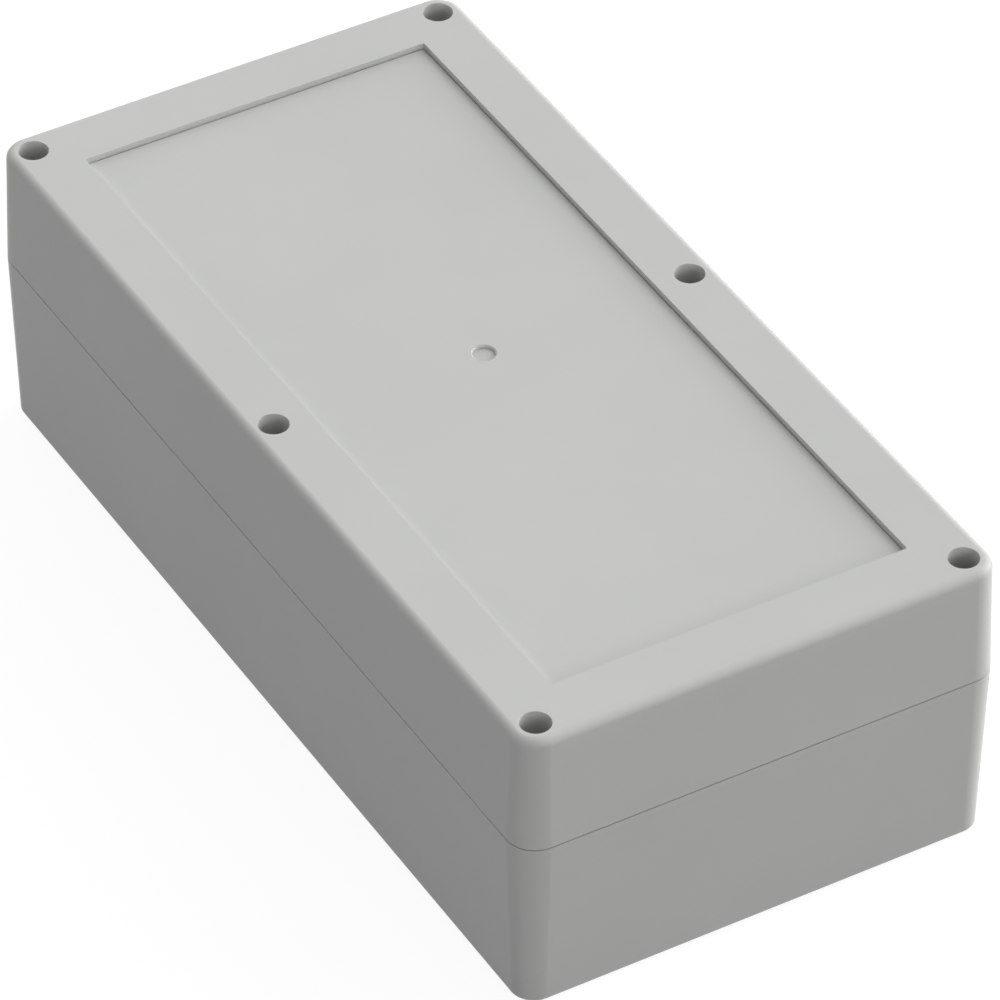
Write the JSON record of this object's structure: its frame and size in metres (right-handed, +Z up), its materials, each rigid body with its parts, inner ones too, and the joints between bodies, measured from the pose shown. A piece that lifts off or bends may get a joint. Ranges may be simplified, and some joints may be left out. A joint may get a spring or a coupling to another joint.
{
  "type": "electronics enclosure",
  "caption": "Sealed rectangular box of two light grey moulded shells, with a recessed panel in the lid, deep screw wells, brass inserts and a gasket.",
  "frame": {"origin": "on the ground, under the middle of the box", "axes": "+X along the length, +Y across the width, +Z up, out of the lid"},
  "size_m": [0.24, 0.12, 0.075],
  "materials": {
    "shell": "moulded light grey plastic, satin with a very fine even texture",
    "gasket": "soft dark sealing rubber",
    "screw": "turned stainless steel with a rolled thread",
    "washer": "natural white nylon",
    "insert": "hexagonal brass, drawn and cut, with a tapped bore"
  },
  "bodies": {
    "base": {"base": "shell", "threaded_insert_1": "insert", "threaded_insert_2": "insert", "threaded_insert_3": "insert", "threaded_insert_4": "insert", "threaded_insert_5": "insert", "threaded_insert_6": "insert"},
    "lid": {"lid": "shell", "gasket": "gasket"},
    "screw_1_washer": {"screw_washer_1": "washer"},
    "screw_1": {"lid_screw_1": "screw"},
    "screw_2_washer": {"screw_washer_2": "washer"},
    "screw_2": {"lid_screw_2": "screw"},
    "screw_3_washer": {"screw_washer_3": "washer"},
    "screw_3": {"lid_screw_3": "screw"},
    "screw_4_washer": {"screw_washer_4": "washer"},
    "screw_4": {"lid_screw_4": "screw"},
    "screw_5_washer": {"screw_washer_5": "washer"},
    "screw_5": {"lid_screw_5": "screw"},
    "screw_6_washer": {"screw_washer_6": "washer"},
    "screw_6": {"lid_screw_6": "screw"}
  },
  "joints": [
    {"name": "lid_lift", "type": "slide", "parent": "base", "child": "lid", "axis": [0, 0, 1], "range_m": [0, 0.1]},
    {"name": "screw_1_rise", "type": "slide", "parent": "lid", "child": "screw_1_washer", "axis": [0, 0, 1], "range_m": [0, 0.008]},
    {"name": "screw_1_turn", "type": "hinge", "parent": "screw_1_washer", "child": "screw_1", "pos_m": [-0.113, -0.053, 0.05], "axis": [0, 0, 1], "range_deg": [0, 4114.3]},
    {"name": "screw_2_rise", "type": "slide", "parent": "lid", "child": "screw_2_washer", "axis": [0, 0, 1], "range_m": [0, 0.008]},
    {"name": "screw_2_turn", "type": "hinge", "parent": "screw_2_washer", "child": "screw_2", "pos_m": [0, -0.053, 0.05], "axis": [0, 0, 1], "range_deg": [0, 4114.3]},
    {"name": "screw_3_rise", "type": "slide", "parent": "lid", "child": "screw_3_washer", "axis": [0, 0, 1], "range_m": [0, 0.008]},
    {"name": "screw_3_turn", "type": "hinge", "parent": "screw_3_washer", "child": "screw_3", "pos_m": [0.113, -0.053, 0.05], "axis": [0, 0, 1], "range_deg": [0, 4114.3]},
    {"name": "screw_4_rise", "type": "slide", "parent": "lid", "child": "screw_4_washer", "axis": [0, 0, 1], "range_m": [0, 0.008]},
    {"name": "screw_4_turn", "type": "hinge", "parent": "screw_4_washer", "child": "screw_4", "pos_m": [0.113, 0.053, 0.05], "axis": [0, 0, 1], "range_deg": [0, 4114.3]},
    {"name": "screw_5_rise", "type": "slide", "parent": "lid", "child": "screw_5_washer", "axis": [0, 0, 1], "range_m": [0, 0.008]},
    {"name": "screw_5_turn", "type": "hinge", "parent": "screw_5_washer", "child": "screw_5", "pos_m": [0, 0.053, 0.05], "axis": [0, 0, 1], "range_deg": [0, 4114.3]},
    {"name": "screw_6_rise", "type": "slide", "parent": "lid", "child": "screw_6_washer", "axis": [0, 0, 1], "range_m": [0, 0.008]},
    {"name": "screw_6_turn", "type": "hinge", "parent": "screw_6_washer", "child": "screw_6", "pos_m": [-0.113, 0.053, 0.05], "axis": [0, 0, 1], "range_deg": [0, 4114.3]}
  ],
  "couplings": [
    {"joint": "screw_1_turn", "follows": "screw_1_rise", "rad_per_m": 8976},
    {"joint": "screw_2_turn", "follows": "screw_2_rise", "rad_per_m": 8976},
    {"joint": "screw_3_turn", "follows": "screw_3_rise", "rad_per_m": 8976},
    {"joint": "screw_4_turn", "follows": "screw_4_rise", "rad_per_m": 8976},
    {"joint": "screw_5_turn", "follows": "screw_5_rise", "rad_per_m": 8976},
    {"joint": "screw_6_turn", "follows": "screw_6_rise", "rad_per_m": 8976}
  ]
}
